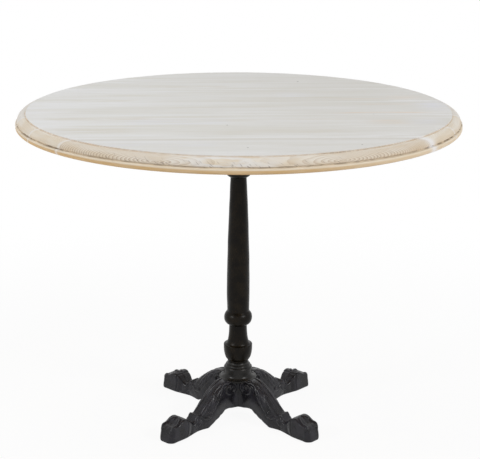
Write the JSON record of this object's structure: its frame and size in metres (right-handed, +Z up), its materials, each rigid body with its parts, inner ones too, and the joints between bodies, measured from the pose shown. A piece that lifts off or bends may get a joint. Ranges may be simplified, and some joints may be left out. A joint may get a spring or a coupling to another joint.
{
  "type": "round pedestal bistro table",
  "caption": "Round bistro table: an edge-glued plank top with a moulded rim on a turned cast-iron column with scrolled legs and levelling glides.",
  "frame": {"origin": "on the floor, on the column's axis, which is the centre of the top", "axes": "+Z up; +X to the right and -Y to the front, with a leg at 45 degrees on each side of the front"},
  "size_m": [1.016, 1.0158, 0.756],
  "materials": {
    "whitewashed_wood": "limewashed and brushed, matt",
    "bare_wood": "bare, unseen inside the joints",
    "cast_iron": "waxed charcoal paint over the casting, soft sheen",
    "plated_steel": "zinc plated",
    "glide_nylon": "moulded nylon"
  },
  "bodies": {
    "table": {"plank_1": "whitewashed_wood", "plank_2": "whitewashed_wood", "plank_3": "whitewashed_wood", "plank_4": "whitewashed_wood", "plank_5": "whitewashed_wood", "plank_6": "whitewashed_wood", "plank_7": "whitewashed_wood", "joint_tongues": "bare_wood", "spider_bracket": "cast_iron", "top_screws": "plated_steel", "column": "cast_iron", "base_collar": "cast_iron", "tie_rod": "plated_steel", "tie_rod_top_nut": "plated_steel", "tie_rod_top_washer": "plated_steel", "tie_rod_bottom_nut": "plated_steel", "tie_rod_bottom_washer": "plated_steel", "leg_front_left": "cast_iron", "leg_front_right": "cast_iron", "leg_back_left": "cast_iron", "leg_back_right": "cast_iron", "leg_bolts": "plated_steel", "leg_bolt_washers": "plated_steel"},
    "pad_front_left": {"glide_pad_front_left": "glide_nylon"},
    "pad_front_right": {"glide_pad_front_right": "glide_nylon"},
    "pad_back_left": {"glide_pad_back_left": "glide_nylon"},
    "pad_back_right": {"glide_pad_back_right": "glide_nylon"},
    "stem_front_left": {"glide_stem_front_left": "plated_steel"},
    "stem_front_right": {"glide_stem_front_right": "plated_steel"},
    "stem_back_left": {"glide_stem_back_left": "plated_steel"},
    "stem_back_right": {"glide_stem_back_right": "plated_steel"}
  },
  "joints": [
    {"name": "glide_front_left", "type": "slide", "parent": "table", "child": "pad_front_left", "axis": [0, 0, -1], "range_m": [0, 0.008]},
    {"name": "glide_front_right", "type": "slide", "parent": "table", "child": "pad_front_right", "axis": [0, 0, -1], "range_m": [0, 0.008]},
    {"name": "glide_back_left", "type": "slide", "parent": "table", "child": "pad_back_left", "axis": [0, 0, -1], "range_m": [0, 0.008]},
    {"name": "glide_back_right", "type": "slide", "parent": "table", "child": "pad_back_right", "axis": [0, 0, -1], "range_m": [0, 0.008]},
    {"name": "screw_front_left", "type": "hinge", "parent": "pad_front_left", "child": "stem_front_left", "pos_m": [-0.14778, -0.14778, 0.01], "axis": [0, 0, -1], "range_deg": [0, 2305]},
    {"name": "screw_front_right", "type": "hinge", "parent": "pad_front_right", "child": "stem_front_right", "pos_m": [0.14778, -0.14778, 0.01], "axis": [0, 0, -1], "range_deg": [0, 2305]},
    {"name": "screw_back_left", "type": "hinge", "parent": "pad_back_left", "child": "stem_back_left", "pos_m": [-0.14778, 0.14778, 0.01], "axis": [0, 0, -1], "range_deg": [0, 2305]},
    {"name": "screw_back_right", "type": "hinge", "parent": "pad_back_right", "child": "stem_back_right", "pos_m": [0.14778, 0.14778, 0.01], "axis": [0, 0, -1], "range_deg": [0, 2305]}
  ],
  "couplings": [
    {"joint": "screw_front_left", "follows": "glide_front_left", "rad_per_m": 5026.5},
    {"joint": "screw_front_right", "follows": "glide_front_right", "rad_per_m": 5026.5},
    {"joint": "screw_back_left", "follows": "glide_back_left", "rad_per_m": 5026.5},
    {"joint": "screw_back_right", "follows": "glide_back_right", "rad_per_m": 5026.5}
  ]
}
